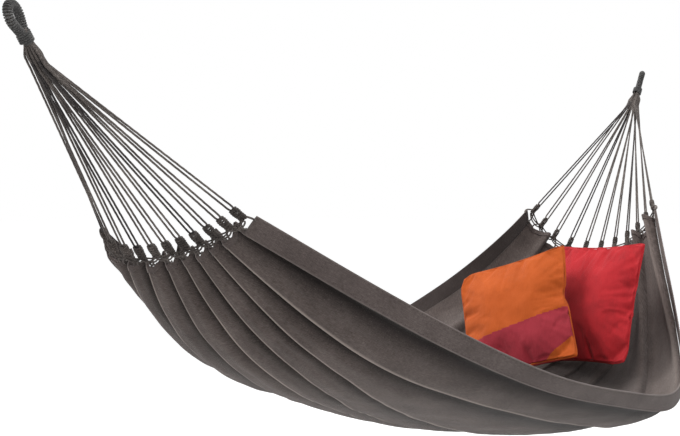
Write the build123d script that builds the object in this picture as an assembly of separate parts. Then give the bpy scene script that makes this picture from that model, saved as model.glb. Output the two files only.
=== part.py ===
from build123d import *
import math
import os

# A gathered-end cloth hammock with two loose cushions, in millimetres.
# X runs from the foot eye to the head eye, Z is up, and the front side faces -Y.
# The origin is the foot eye's bearing point, where the top of its loop lies on a hook.

# Hanging points and eyes
hook_span = 2740.0             # between the two bearing points
eye_tilt = 56.5                # degrees below level that both eyes are pulled to
eye_twist = (25.0, 29.0)       # degrees that the foot and head loops are turned about their pull
eye_core_d = 13.0              # bundled cord inside the whipping
eye_inner_width = 24.0
eye_inner_length = 42.0
wrap_cord_d = 3.2              # cord wound round the eye and its neck
wrap_clearance = 0.3
wrap_turns = 21
limb_gap = 0.4                 # between the two limbs where they come together
limb_bend_radius = 12.0
neck_length = 18.0             # bound part under the loop
neck_turns = 3
ball_d = 42.0                  # rounded end of the neck, centred on the swing axis
ball_drop = 15.0               # from the end of the neck to the middle of the ball

# Suspension cords
cord_d = 4.0
clusters = 11                  # doubled cords to each end
fan_pitch = 1.13               # sideways step from leg to leg at the neck
fan_row_gap = 4.45             # between the rows of legs at the neck
fan_rows = 4
lead_length = 18.0             # straight part as a leg leaves the neck
leg_spread = 11.0              # between the two legs of one cord at its knot
seat_gap = 0.3                 # between pieces that only touch

# Knots and end loops
knot_length = 15.0
knot_d = 13.0
knot_end_d = 8.0
loop_cord_d = 5.0
loop_height = 30.0
loop_spread = 26.0             # between the feet of one loop
loop_top_width = 8.0
loop_foot = 8.0                # straight part where a loop leaves the hem

# Cloth
cloth_thickness = 2.0
side_hem_width = 46.0
side_hem_thickness = 4.0
end_hem_width = 14.0
end_hem_thickness = 6.0
hem_seam_gap = 0.8             # between the panel and its hems
pleats = 10
end_pleat_depth = 12.0         # how far a pleat bulges at the gathered ends
middle_pleat_depth = 5.0
cloth_stations = 11
fullness = math.radians(76)    # half the angle that a cross-section turns through
section_points = 13

# Seven even stations from foot to head: the front rim, the back rim and the lowest line
front_rim = [
    (525, -145, -400), (730, -400, -595), (1035, -570, -765), (1400, -605, -855),
    (1780, -550, -888), (2095, -405, -735), (2277, -257, -427),
]
back_rim = [
    (447, 218, -442), (760, 335, -620), (1065, 520, -752), (1410, 605, -880),
    (1780, 578, -850), (2088, 410, -687), (2289, 195, -443),
]
lowest_line = [
    (460, 89, -500), (690, -10, -775), (1045, -15, -905), (1412, -40, -1005),
    (1786, -130, -997), (2133, -65, -879), (2375, 11, -593),
]

# Cushions
cushion_size = 365.0
cushion_crown = 104.0          # thickness at the middle
cushion_edge = 9.0             # thickness at the seams
end_crown = 1.0                # rise between the corners of the two end seams
crown_power = 0.7              # below 1 the crown is flatter on top
cushion_draw = 11.0            # how far the sides pull in between the corners
cover_thickness = 1.4
cover_clearance = 0.3
panel_gap = 0.3                # between two panels at their seam
colour_seam = -38.0            # height of the seam between the two front panels
zip_length = 250.0
zip_width = 8.0
zip_thickness = 2.4
orange_place = (1930, 34, -748.4)
orange_turn = (0.0, 24.4, 19.0)     # heading, lean and roll in degrees
red_place = (2056, -156, -715.6)
red_turn = (-21.6, 16.1, 4.2)

foot, head = 0, 1
end_names = ("foot", "head")


# Geometry that the pieces share

def eye_plane(end):
    """Plane at an eye's bearing point, with X along the pull and Y across the loop."""
    tilt = math.radians(eye_tilt)
    twist = math.radians(eye_twist[end])
    way = 1 if end == foot else -1
    pull = Vector(way * math.cos(tilt), 0, -math.sin(tilt))
    level = Vector(math.sin(tilt), 0, way * math.cos(tilt))
    across = level * math.cos(twist) + Vector(0, math.sin(twist), 0)
    return Plane(origin=(end * hook_span, 0, 0), x_dir=pull, z_dir=pull.cross(across))


def tube(path, diameter):
    """Round tube along a path."""
    return sweep(Plane(origin=path @ 0, z_dir=path % 0) * Circle(diameter / 2), path=path)


def biarc(start, start_way, finish, finish_way):
    """Two arcs that join two points and keep both directions."""
    span = finish - start
    ways = start_way + finish_way
    turn = 2 * (1 - start_way.dot(finish_way))
    along = span.dot(ways)
    reach = (math.sqrt(along ** 2 + turn * span.dot(span)) - along) / turn
    joint = (start + start_way * reach + finish - finish_way * reach) * 0.5
    first = TangentArc(start, joint, tangent=start_way)
    return [first, TangentArc(joint, finish, tangent=first % 1)]


def winding(name, path, begin, finish, turns, radius, diameter):
    """Cord wound round a flat path as one unbroken tube, a biarc to the quarter turn."""
    def centre(turn):
        share = begin + (finish - begin) * turn / turns
        along = path.tangent_at(share)
        outward = Vector(along.Y, -along.X, 0)
        angle = 2 * math.pi * turn
        reach = outward * math.cos(angle) + Vector(0, 0, math.sin(angle))
        return path.position_at(share) + reach * radius

    def way(turn):
        step = 0.001
        low = max(0, turn - step)
        high = min(turns, turn + step)
        return (centre(high) - centre(low)).normalized()

    edges = []
    quarters = [k / 4 for k in range(4 * turns + 1)]
    for low, high in zip(quarters, quarters[1:]):
        edges += biarc(centre(low), way(low), centre(high), way(high))
    first = Line(centre(0) - way(0) * diameter, centre(0))
    last = Line(centre(turns), centre(turns) + way(turns) * diameter)
    points = [centre(k / 24) for k in range(24 * turns + 1)]
    gaps = [
        (points[i] - points[j]).length - diameter
        for i in range(len(points)) for j in range(i + 14, min(i + 36, len(points)))
    ]
    print(f"{name}: {turns} turns, least gap to itself {min(gaps):.2f} mm")
    return tube(Wire([first, *edges, last]), diameter)


# Eyes, in the plane of the loop

wrap_radius = eye_core_d / 2 + wrap_clearance + wrap_cord_d / 2
wound_radius = wrap_radius + wrap_cord_d / 2
crown_radius = eye_inner_width / 2 + wound_radius
limb_y = (eye_core_d + limb_gap) / 2
limb_drop = wound_radius - limb_y
crown_centre = eye_inner_width / 2


def limb_slope(bend_x):
    """Angle of a limb to the pull when it bends at this height."""
    reach = math.hypot(bend_x - crown_centre, limb_y)
    return math.asin(crown_radius / reach) - math.atan2(limb_y, bend_x - crown_centre)


def find_limb_bend():
    """Height at which the limbs bend so that the opening has its stated length."""
    bend_x = eye_inner_length + limb_drop
    for _ in range(20):
        bend_x = eye_inner_length + limb_drop / math.tan(limb_slope(bend_x))
    return bend_x


limb_bend = find_limb_bend()
slope = limb_slope(limb_bend)
bend_setback = limb_bend_radius * math.tan(slope / 2)
limb_run = math.sqrt((limb_bend - crown_centre) ** 2 + limb_y ** 2 - crown_radius ** 2)
neck_top = limb_bend + bend_setback + seat_gap
neck_radius = limb_y + eye_core_d / 2 + wrap_clearance
neck_bottom = neck_top + seat_gap + neck_length
ball_x = neck_bottom + ball_drop


def eye_path():
    """Centre line of the bundle: up one limb, round the crown and down the other."""
    turn = math.degrees(slope)
    rise = Line((neck_top, limb_y), (limb_bend + bend_setback, limb_y))
    part = JernArc(rise @ 1, rise % 1, limb_bend_radius, -turn)
    limb = PolarLine(part @ 1, limb_run - bend_setback, direction=part % 1)
    crown = JernArc(limb @ 1, limb % 1, crown_radius, 180 + 2 * turn)
    down = PolarLine(crown @ 1, limb_run - bend_setback, direction=crown % 1)
    close = JernArc(down @ 1, down % 1, limb_bend_radius, -turn)
    end = Line(close @ 1, (neck_top, -limb_y))
    return Wire([rise, part, limb, crown, down, close, end])


def eye_pieces(end):
    """Bundled core, its whipping, the neck and the neck's binding."""
    name = end_names[end]
    place = eye_plane(end).location
    path = eye_path()
    bare = (neck_top - limb_bend + limb_drop / math.sin(slope) + wrap_cord_d) / path.length
    neck = Pos(neck_top + seat_gap, 0, 0) * Rot(0, 90, 0) * Cylinder(
        neck_radius, neck_length, align=(Align.CENTER, Align.CENTER, Align.MIN))
    ball = Pos(ball_x, 0, 0) * Sphere(ball_d / 2)
    binding_radius = neck_radius + wrap_clearance + wrap_cord_d / 2
    axis = Line((neck_top, 0), (neck_bottom, 0))
    margin = wrap_cord_d / neck_length
    return {
        f"{name}_eye_core": place * tube(path, eye_core_d),
        f"{name}_eye_whipping": place * winding(
            f"{name}_eye_whipping", path, bare, 1 - bare, wrap_turns, wrap_radius, wrap_cord_d),
        f"{name}_eye_neck": place * (neck + ball),
        f"{name}_neck_binding": place * winding(
            f"{name}_neck_binding", axis, margin, 1 - margin, neck_turns, binding_radius, wrap_cord_d),
    }


# Cloth

front_edge = Spline(*front_rim)
back_edge = Spline(*back_rim)
low_edge = Spline(*lowest_line)


class Section:
    """Cross-section of the bed at a share of its length, from the front rim to the back rim."""

    def __init__(self, along):
        front, back, low = front_edge @ along, back_edge @ along, low_edge @ along
        self.along = along
        self.middle = (front + back) * 0.5
        self.half = (front - back) * 0.5
        self.drop = low - self.middle
        self.normal = self.half.cross(self.drop).normalized()
        shares = [2 * k / (section_points - 1) - 1 for k in range(section_points)]
        self.line = Spline(*[self.raw(share) for share in shares])
        self.hem = side_hem_width / self.line.length

    def raw(self, share):
        across = math.sin(fullness * share) / math.sin(fullness)
        down = (math.cos(fullness * share) - math.cos(fullness)) / (1 - math.cos(fullness))
        return self.middle - self.half * across + self.drop * down

    def at(self, share, out=0.0):
        """Point at a share of the width, moved out from the cloth's middle surface."""
        outward = self.line.tangent_at(share).cross(self.normal).normalized()
        return self.line.position_at(share) + outward * out

    def pleated(self, thickness):
        """Closed outline of the pleated cloth between the two side hems."""
        depth = middle_pleat_depth
        depth += (end_pleat_depth - middle_pleat_depth) * abs(2 * self.along - 1) ** 2
        start = self.hem + hem_seam_gap / self.line.length
        creases = [start + (1 - 2 * start) * k / pleats for k in range(pleats + 1)]
        edges = []
        for side in (1, -1):
            out = side * thickness / 2
            for low, high in zip(creases, creases[1:]):
                crest = self.at((low + high) / 2, out + depth)
                edges.append(ThreePointArc(self.at(low, out), crest, self.at(high, out)))
        for share in (creases[0], creases[-1]):
            edges.append(Line(self.at(share, thickness / 2), self.at(share, -thickness / 2)))
        return Wire(edges)

    def strip(self, low, high, thickness):
        """Closed outline of a flat band between two shares of the width."""
        edges = []
        for side in (1, -1):
            out = side * thickness / 2
            mid = self.at((low + high) / 2, out)
            edges.append(ThreePointArc(self.at(low, out), mid, self.at(high, out)))
        for share in (low, high):
            edges.append(Line(self.at(share, thickness / 2), self.at(share, -thickness / 2)))
        return Wire(edges)


cloth_length = low_edge.length
hem_share = end_hem_width / cloth_length
hem_gap_share = hem_seam_gap / cloth_length


def cloth_pieces():
    """The cloth panel, its two side hems and the gathered hem at each end."""
    begin = hem_share + hem_gap_share
    full = [k / (cloth_stations - 1) for k in range(cloth_stations)]
    panel = [begin, *full[1:-1], 1 - begin]
    rims = [Section(along) for along in full]
    pieces = {
        "cloth_panel": Solid.make_loft([Section(a).pleated(cloth_thickness) for a in panel]),
        "front_side_hem": Solid.make_loft([s.strip(0, s.hem, side_hem_thickness) for s in rims]),
        "back_side_hem": Solid.make_loft([s.strip(1 - s.hem, 1, side_hem_thickness) for s in rims]),
    }
    for end in (foot, head):
        stations = [abs(end - share) for share in (0, hem_share)]
        outlines = [Section(a).pleated(end_hem_thickness) for a in stations]
        pieces[f"{end_names[end]}_end_hem"] = Solid.make_loft(outlines)
    return pieces


# Cords, knots and end loops

class Cluster:
    """One loop, one knot and one doubled cord, where they meet the cloth's end."""

    def __init__(self, end, number, section):
        share = section.hem / 2 + (1 - section.hem) * number / (clusters - 1)
        self.foot = section.at(share)
        self.leave = section.normal * (-1 if end == foot else 1)
        ball = eye_plane(end).from_local_coords(Vector(ball_x, 0, 0))
        self.up = (ball - self.foot).normalized()
        self.edge = section.line.tangent_at(share)
        self.along = (self.edge - self.up * self.edge.dot(self.up)).normalized()

    def at(self, along, up):
        return self.foot + self.along * along + self.up * up

    def loop(self):
        """Loop of thick cord that holds a gather of the hem."""
        top = loop_height - loop_cord_d / 2
        feet = [self.foot + self.edge * (side * loop_spread / 2) for side in (-1, 1)]
        points = [
            feet[0] + self.leave * seat_gap, feet[0] + self.leave * loop_foot,
            self.at(-loop_top_width / 2, top), self.at(loop_top_width / 2, top),
            feet[1] + self.leave * loop_foot, feet[1] + self.leave * seat_gap,
        ]
        return tube(rounded(points), loop_cord_d)

    def knot(self):
        """Barrel knot between the loop and the doubled cord."""
        half = knot_length / 2
        side = ThreePointArc((knot_end_d / 2, -half), (knot_d / 2, 0), (knot_end_d / 2, half))
        ends = Polyline((knot_end_d / 2, half), (0, half), (0, -half), (knot_end_d / 2, -half))
        barrel = revolve(Plane.XZ * make_face([side, ends]), Axis.Z)
        centre = self.at(0, loop_height + seat_gap + half)
        return Plane(origin=centre, x_dir=self.along, z_dir=self.up) * barrel


def corner_radius(before, corner, after):
    """Largest arc that a corner's two runs leave room for."""
    first = corner - before
    second = after - corner
    half_turn = math.radians(first.get_angle(second)) / 2
    return 0.45 * min(first.length, second.length) / math.tan(half_turn)


def rounded(points):
    """Straight runs joined by tangent arcs."""
    radii = [corner_radius(*three) for three in zip(points, points[1:], points[2:])]
    return FilletPolyline(*points, radius=radii)


def leg_starts(end, section):
    """Where each leg leaves the ball: a small copy of the cloth's edge in four rows."""
    plane = eye_plane(end)
    pull = plane.x_dir
    legs = 2 * clusters

    def across(vector):
        return vector - pull * vector.dot(pull)

    shares = [section.hem / 2 + (1 - section.hem) * k / (legs - 1) for k in range(legs)]
    points = [across(section.at(share)) for share in shares]
    outward = [across(section.at(share, 1) - section.at(share)).normalized() for share in shares]
    scale = fan_pitch * (legs - 1) / sum((b - a).length for a, b in zip(points, points[1:]))
    spots = [
        points[k] * scale + outward[k] * (k % fan_rows * fan_row_gap)
        for k in range(legs)
    ]
    middle = sum(spots, Vector()) / legs
    ball = plane.from_local_coords(Vector(ball_x, 0, 0))
    starts = []
    for spot in spots:
        aside = spot - middle
        reach = ball_d / 2 + seat_gap
        height = math.sqrt(reach ** 2 - max(0, aside.length - cord_d / 2) ** 2)
        starts.append(ball + aside + pull * height)
    return starts


def cord_route(end, starts, cluster):
    """Down one leg, round over the knot and up the other leg."""
    base = loop_height + 2 * seat_gap + knot_length + cord_d / 2
    lead = eye_plane(end).x_dir * lead_length
    turns = [cluster.at(side * leg_spread / 2, base) for side in (-1, 1)]
    return [starts[0], starts[0] + lead, *turns, starts[1] + lead, starts[1]]


def cord_pieces(end):
    """Doubled cords of one end, with their knots and loops as two groups."""
    section = Section(end)
    starts = leg_starts(end, section)
    pieces = {}
    knots = []
    loops = []
    lengths = []
    for number in range(clusters):
        cluster = Cluster(end, number, section)
        route = cord_route(end, starts[2 * number:2 * number + 2], cluster)
        path = rounded(route)
        cord = tube(path, cord_d)
        share = cord.volume / (path.length * math.pi * cord_d ** 2 / 4)
        lengths.append(path.length)
        radii = [round(corner_radius(*three), 1) for three in zip(route, route[1:], route[2:])]
        print(f"{end_names[end]}_cord_{number + 1:02d}: radii {radii}, volume share {share:.4f}")
        pieces[f"{end_names[end]}_cord_{number + 1:02d}"] = cord
        knots.append(cluster.knot())
        loops.append(cluster.loop())
    print(end_names[end], "cord lengths", [round(length) for length in lengths])
    pieces[f"{end_names[end]}_knots"] = Compound(children=knots)
    pieces[f"{end_names[end]}_end_loops"] = Compound(children=loops)
    return pieces


# Cushions, face up in their own frame

def pillow(inset):
    """Crowned form with drawn-in sides, smaller by an inset on every face."""
    half = cushion_size / 2 - inset
    edge = cushion_edge / 2 - inset * cushion_edge / cushion_crown
    crown = cushion_crown / 2 - inset

    def outline(share):
        width = half - cushion_draw * (1 - share ** 2)
        low = edge + end_crown
        height = low + (crown - low) * math.cos(share * math.pi / 2) ** crown_power
        x = share * half
        edges = [
            ThreePointArc((x, -width, side * edge), (x, 0, side * height), (x, width, side * edge))
            for side in (1, -1)
        ]
        edges += [Line((x, y, edge), (x, y, -edge)) for y in (-width, width)]
        return Wire(edges)

    shares = (-1, -0.9, -0.65, -0.3, 0.0, 0.3, 0.65, 0.9, 1)
    return Solid.make_loft([outline(share) for share in shares])


def cushion_plane(place, turn):
    """Plane of a cushion's face: Z out of the face, Y up the face."""
    heading, lean, roll = turn
    face = Plane(origin=place, x_dir=(0, -1, 0), z_dir=(-1, 0, 0))
    location = face.location * Rot(0, heading, 0) * Rot(-lean, 0, 0) * Rot(0, 0, roll)
    return Plane(location)


def half_space(direction, offset):
    """Big block on one side of a plane across an axis of the cushion's frame."""
    size = 2 * cushion_size
    middle = Vector(*direction) * (offset + size / 2)
    return Pos(*middle) * Box(size, size, size)


def closing_zip():
    """Zip along the drawn-in bottom edge, just outside the seam."""
    half = cushion_size / 2

    def edge_y(x):
        return -(half - cushion_draw * (1 - (x / half) ** 2)) - seat_gap

    reach = zip_length / 2
    lines = []
    side = edge_y(reach)
    for out in (0, zip_thickness):
        lines.append(ThreePointArc((-reach, side - out), (0, edge_y(0) - out), (reach, side - out)))
    for x in (-reach, reach):
        lines.append(Line((x, side), (x, side - zip_thickness)))
    face = make_face(lines)
    return Pos(0, 0, -zip_width / 2) * extrude(face, zip_width)


def cushion_pieces(name, plane, front_panels):
    """Cover panels, filling and zip of one cushion."""
    cover = pillow(0) - pillow(cover_thickness)
    front = cover & half_space((0, 0, 1), panel_gap / 2)
    pieces = {f"{name}_cover_back": cover & half_space((0, 0, -1), panel_gap / 2)}
    if len(front_panels) == 1:
        pieces[f"{name}_{front_panels[0]}"] = front
    else:
        seam = panel_gap / 2
        pieces[f"{name}_{front_panels[0]}"] = front & half_space((0, 1, 0), colour_seam + seam)
        pieces[f"{name}_{front_panels[1]}"] = front & half_space((0, -1, 0), -colour_seam + seam)
    pieces[f"{name}_filling"] = pillow(cover_thickness + cover_clearance)
    pieces[f"{name}_zip"] = closing_zip()
    return {node: plane.location * piece for node, piece in pieces.items()}


pieces = {}
for end in (foot, head):
    pieces.update(eye_pieces(end))
    pieces.update(cord_pieces(end))
pieces.update(cloth_pieces())
orange_plane = cushion_plane(orange_place, orange_turn)
red_plane = cushion_plane(red_place, red_turn)
pieces.update(cushion_pieces("orange_cushion", orange_plane, ["orange_panel", "raspberry_panel"]))
pieces.update(cushion_pieces("red_cushion", red_plane, ["cover_front"]))

os.makedirs("parts", exist_ok=True)
for node, piece in pieces.items():
    export_step(piece, f"parts/{node}.step")
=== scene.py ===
import math
import bpy
import bmesh
import numpy as np
from mathutils import Matrix, Vector


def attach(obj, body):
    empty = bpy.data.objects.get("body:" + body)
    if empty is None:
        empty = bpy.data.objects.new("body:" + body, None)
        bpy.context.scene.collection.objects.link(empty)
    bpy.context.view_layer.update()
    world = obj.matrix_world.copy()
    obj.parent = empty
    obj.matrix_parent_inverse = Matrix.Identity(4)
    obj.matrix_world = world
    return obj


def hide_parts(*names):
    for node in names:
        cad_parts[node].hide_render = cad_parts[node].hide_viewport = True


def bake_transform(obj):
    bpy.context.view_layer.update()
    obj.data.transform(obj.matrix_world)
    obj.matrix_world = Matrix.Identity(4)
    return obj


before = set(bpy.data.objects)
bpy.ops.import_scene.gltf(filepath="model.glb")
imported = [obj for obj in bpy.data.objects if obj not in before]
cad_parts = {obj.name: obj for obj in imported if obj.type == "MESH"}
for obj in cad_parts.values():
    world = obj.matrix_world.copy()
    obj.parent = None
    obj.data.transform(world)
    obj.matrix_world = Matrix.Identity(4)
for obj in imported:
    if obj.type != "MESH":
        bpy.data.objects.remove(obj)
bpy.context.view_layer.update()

# A gathered-end cloth hammock with two loose cushions, in metres, in the CAD model's frame.
# X runs from the foot eye to the head eye, Z is up, and the photographed side faces -Y.

scene = bpy.context.scene
mm = 0.001
fullTurn = 6.2832        # for waves that make a shape uneven
ends = ("foot", "head")


# Camera

cameraSettings = {
    "place": (-1.711, -2.052, -0.303),
    "yaw": 52.99,        # degrees from +Y towards +X
    "pitch": -2.03,      # a little downwards
    "roll": -0.64,
    "lens": 73.57,       # on a 36 mm sensor
}


def makeCamera(settings):
    yaw, pitch, roll = (math.radians(settings[key]) for key in ("yaw", "pitch", "roll"))
    forward = Vector((math.sin(yaw) * math.cos(pitch), math.cos(yaw) * math.cos(pitch), math.sin(pitch)))
    right = Vector((math.cos(yaw), -math.sin(yaw), 0))
    up = right.cross(forward)
    turnedRight = right * math.cos(roll) + up * math.sin(roll)
    turnedUp = up * math.cos(roll) - right * math.sin(roll)
    data = bpy.data.cameras.new("photoCamera")
    data.lens = settings["lens"]
    data.sensor_width = 36
    data.clip_start, data.clip_end = 0.05, 60
    camera = bpy.data.objects.new("photoCamera", data)
    camera.matrix_world = Matrix.Translation(settings["place"]) @ Matrix(
        (turnedRight, turnedUp, -forward)).transposed().to_4x4()
    scene.collection.objects.link(camera)
    scene.camera = camera


makeCamera(cameraSettings)
print("camera set")


# Curves, ropes and sheets

def unit(vectors):
    vectors = np.asarray(vectors, float)
    return vectors / np.maximum(np.linalg.norm(vectors, axis=-1, keepdims=True), 1e-12)


def stepLengths(points):
    return np.linalg.norm(np.diff(points, axis=0), axis=1)


def lineLength(points):
    return float(stepLengths(points).sum())


def lengthsAlong(points):
    return np.r_[0, np.cumsum(stepLengths(points))]


def resample(points, count):
    lengths = lengthsAlong(points)
    wanted = np.linspace(0, lengths[-1], count)
    return np.stack([np.interp(wanted, lengths, points[:, k]) for k in range(3)], 1)


def cubicThrough(places, values, wanted):
    # cubic spline through the values, with the same third derivative across the first and last inner knots
    count = len(places)
    step = np.diff(places)
    system = np.zeros((count, count))
    known = np.zeros_like(values)
    system[0, :3] = step[1], -(step[0] + step[1]), step[0]
    system[-1, -3:] = step[-1], -(step[-2] + step[-1]), step[-2]
    for k in range(1, count - 1):
        system[k, k - 1:k + 2] = step[k - 1], 2 * (step[k - 1] + step[k]), step[k]
        known[k] = 6 * ((values[k + 1] - values[k]) / step[k] - (values[k] - values[k - 1]) / step[k - 1])
    bend = np.linalg.solve(system, known)
    spot = np.clip(np.searchsorted(places, wanted, side="right") - 1, 0, count - 2)
    width = step[spot][:, None]
    a = (places[spot + 1] - wanted)[:, None] / width
    b = 1 - a
    rise = (a ** 3 - a) * bend[spot] + (b ** 3 - b) * bend[spot + 1]
    return a * values[spot] + b * values[spot + 1] + rise * width ** 2 / 6


def evenLine(points, count):
    # a smooth line through points, sampled at even steps of its length
    points = np.asarray(points, float)
    chords = lengthsAlong(points)
    return resample(cubicThrough(chords, points, np.linspace(0, chords[-1], 6 * count)), count)


def addMesh(name, vertices, faces, material, smooth=True):
    mesh = bpy.data.meshes.new(name)
    mesh.from_pydata([tuple(v) for v in vertices], [], [tuple(int(i) for i in f) for f in faces])
    mesh.validate()
    if smooth:
        mesh.polygons.foreach_set("use_smooth", [True] * len(mesh.polygons))
    mesh.materials.append(material)
    piece = bpy.data.objects.new(name, mesh)
    scene.collection.objects.link(piece)
    return piece


def gridFaces(rows, columns, ring=False):
    # quads between rows of points, where a ring closes each row
    return [(k * columns + j, k * columns + (j + 1) % columns,
             (k + 1) * columns + (j + 1) % columns, (k + 1) * columns + j)
            for k in range(rows - 1) for j in range(columns if ring else columns - 1)]


def closedFaces(rows, columns, turned=False):
    # faces of a sheet's two sides, which have their points in the same order, and of the border between them
    total = rows * columns
    quads = gridFaces(rows, columns)
    if turned:
        quads = [(a, d, c, b) for a, b, c, d in quads]
    faces = quads + [tuple(i + total for i in quad[::-1]) for quad in quads]
    index = np.arange(total).reshape(rows, columns)
    border = [*index[0], *index[1:, -1], *index[-1, -2::-1], *index[-2:0:-1, 0]]
    for first, second in zip(border, border[1:] + border[:1]):
        edge = (first, first + total, second + total, second)
        faces.append((edge[3], *edge[:3]) if turned else edge)
    return faces


def sideways(points):
    # two directions square to a line, carried along it without twist
    along = unit(np.gradient(points, axis=0))
    first = np.cross(along[0], (0, 0, 1) if abs(along[0][2]) < 0.9 else (1, 0, 0))
    side = [unit(first)]
    for direction in along[1:]:
        side.append(unit(side[-1] - direction * np.dot(side[-1], direction)))
    side = np.array(side)
    return side, np.cross(along, side)


def tubeShell(points, radius, sides):
    # an open tube round a line, with a radius for each of its points, or for each side of each point
    side, other = sideways(points)
    angle = np.linspace(0, 2 * np.pi, sides, endpoint=False)
    ring = side[:, None] * np.cos(angle)[None, :, None] + other[:, None] * np.sin(angle)[None, :, None]
    vertices = (points[:, None] + ring * radius[..., None]).reshape(-1, 3)
    return vertices, gridFaces(len(points), sides, ring=True)


def ropeShell(points, diameter, lobes=3, pitch=0.012, depth=0.22, sides=12, phase=0.0, taper=0.0):
    # a closed tube with the lobed, twisting section of a laid rope
    lengths = lengthsAlong(points)
    angle = np.linspace(0, 2 * np.pi, sides, endpoint=False)
    twist = 2 * np.pi * lengths / pitch + phase
    lobe = np.abs(np.cos((angle[None, :] - twist[:, None]) * lobes / 2))
    radius = diameter / 2 * (1 - depth * (1 - lobe) ** 1.5)
    if taper:
        near = np.minimum(lengths, lengths[-1] - lengths) / (taper * diameter)
        radius = radius * np.sqrt(1 - (1 - np.clip(near, 0.12, 1)) ** 2)[:, None]
    vertices, faces = tubeShell(points, radius, sides)
    last = len(vertices) - sides
    return vertices, faces + [tuple(range(sides))[::-1], tuple(range(last, last + sides))]


def joinShells(shells):
    faces, offset = [], 0
    for vertices, shellFaces in shells:
        faces += [tuple(i + offset for i in face) for face in shellFaces]
        offset += len(vertices)
    return np.concatenate([vertices for vertices, _ in shells]), faces


def routeLine(route, step=0.003):
    # the centre line of a cord: a quadratic NURBS through the route's control points, at even steps
    curve = bpy.data.curves.new("route", "CURVE")
    curve.dimensions = "3D"
    spline = curve.splines.new("NURBS")
    spline.points.add(len(route) - 1)
    for point, place in zip(spline.points, route):
        point.co = (*place, 1)
    spline.order_u = 3
    spline.use_endpoint_u = True
    spline.resolution_u = 16
    holder = bpy.data.objects.new("route", curve)
    scene.collection.objects.link(holder)
    bpy.context.view_layer.update()
    mesh = bpy.data.meshes.new_from_object(holder.evaluated_get(bpy.context.evaluated_depsgraph_get()))
    points = np.array([vertex.co[:] for vertex in mesh.vertices])
    bpy.data.objects.remove(holder)
    bpy.data.meshes.remove(mesh)
    return resample(points, max(8, int(lineLength(points) / step)))


# Materials

def linear(hexColour):
    # sRGB hex to the linear colour that the nodes take
    values = [int(hexColour[k:k + 2], 16) / 255 for k in (0, 2, 4)]
    return tuple(v / 12.92 if v <= 0.04045 else ((v + 0.055) / 1.055) ** 2.4 for v in values) + (1.0,)


class Tree:
    # short calls to add and join the nodes of a material or of the world

    def __init__(self, tree):
        self.tree = tree

    def add(self, kind, settings=None, **inputs):
        # an input goes by its name, or by its number as n0, n1 and so on
        node = self.tree.nodes.new(kind)
        for key, value in (settings or {}).items():
            setattr(node, key, value)
        for key, value in inputs.items():
            self.feed(node.inputs[int(key[1:]) if key[0] == "n" else key], value)
        return node

    def feed(self, socket, value):
        if isinstance(value, bpy.types.NodeSocket):
            self.tree.links.new(value, socket)
        else:
            socket.default_value = linear(value) if isinstance(value, str) else value

    def math(self, operation, first, second):
        return self.add("ShaderNodeMath", {"operation": operation}, n0=first, n1=second).outputs[0]


class Look(Tree):
    # one material, with the patterns that several of them share

    def __init__(self, name):
        self.material = bpy.data.materials.new(name)
        self.material.use_nodes = True
        super().__init__(self.material.node_tree)
        self.shader = self.tree.nodes["Principled BSDF"]
        self.place = self.add("ShaderNodeTexCoord").outputs["Object"]

    def stretch(self, vector, scale):
        return self.add("ShaderNodeMapping", None, Vector=vector, Scale=scale).outputs[0]

    def noise(self, vector, scale, detail, roughness=0.6):
        return self.add("ShaderNodeTexNoise", None, Vector=vector, Scale=scale, Detail=detail,
                        Roughness=roughness).outputs["Fac"]

    def weave(self, vector, scales, distortion):
        # two sets of threads that cross, as a height from 0 to 1
        waves = [self.add("ShaderNodeTexWave", {"wave_type": "BANDS", "bands_direction": axis}, Vector=vector,
                          Scale=scale, Distortion=distortion, Detail=1.0).outputs["Fac"]
                 for axis, scale in zip("XY", scales)]
        return self.math("MULTIPLY", *waves)

    def weighted(self, *parts):
        total = None
        for value, share in parts:
            part = self.math("MULTIPLY", value, share)
            total = part if total is None else self.math("ADD", total, part)
        return total

    def grey(self, value, low, high, dark=0.0, light=1.0):
        # value mapped from low..high to dark..light and held there
        return self.add("ShaderNodeMapRange", None, n0=value, n1=low, n2=high, n3=dark, n4=light).outputs[0]

    def dye(self, tone, low, high, settings, middle=0.5):
        # the dark, mid and light colour over a tone from low to high
        ramp = self.add("ShaderNodeValToRGB", None, Fac=self.grey(tone, low, high))
        ramp.color_ramp.elements.new(1.0)
        stops = zip(ramp.color_ramp.elements, (0.0, middle, 1.0), ("dark", "mid", "light"))
        for element, place, key in stops:
            element.position, element.color = place, linear(settings[key])
        return ramp.outputs["Color"]

    def mix(self, share, first, second):
        return self.add("ShaderNodeMix", {"data_type": "RGBA"}, n0=share, n6=first, n7=second).outputs[2]

    def hollows(self, colour, low, high, share, deep):
        # painted shade: the deep colour where the mesh is hollow
        point = self.add("ShaderNodeNewGeometry").outputs["Pointiness"]
        return self.mix(self.grey(point, low, high, share, 0.0), colour, deep)

    def attribute(self, name, output):
        return self.add("ShaderNodeAttribute", {"attribute_name": name}).outputs[output]

    def surface(self, values):
        for key, value in values.items():
            self.feed(self.shader.inputs[key], value)
        return self.material

    def finish(self, colour, height=None, distance=0.001, strength=0.6, roughness=0.9, sheen=0.15):
        if height is not None:
            bump = self.add("ShaderNodeBump", None, Height=height, Distance=distance, Strength=strength)
            self.surface({"Normal": bump.outputs[0]})
        return self.surface({"Base Color": colour, "Roughness": roughness, "Specular IOR Level": 0.25,
                             "Sheen Weight": sheen, "Sheen Roughness": 0.5})


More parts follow.
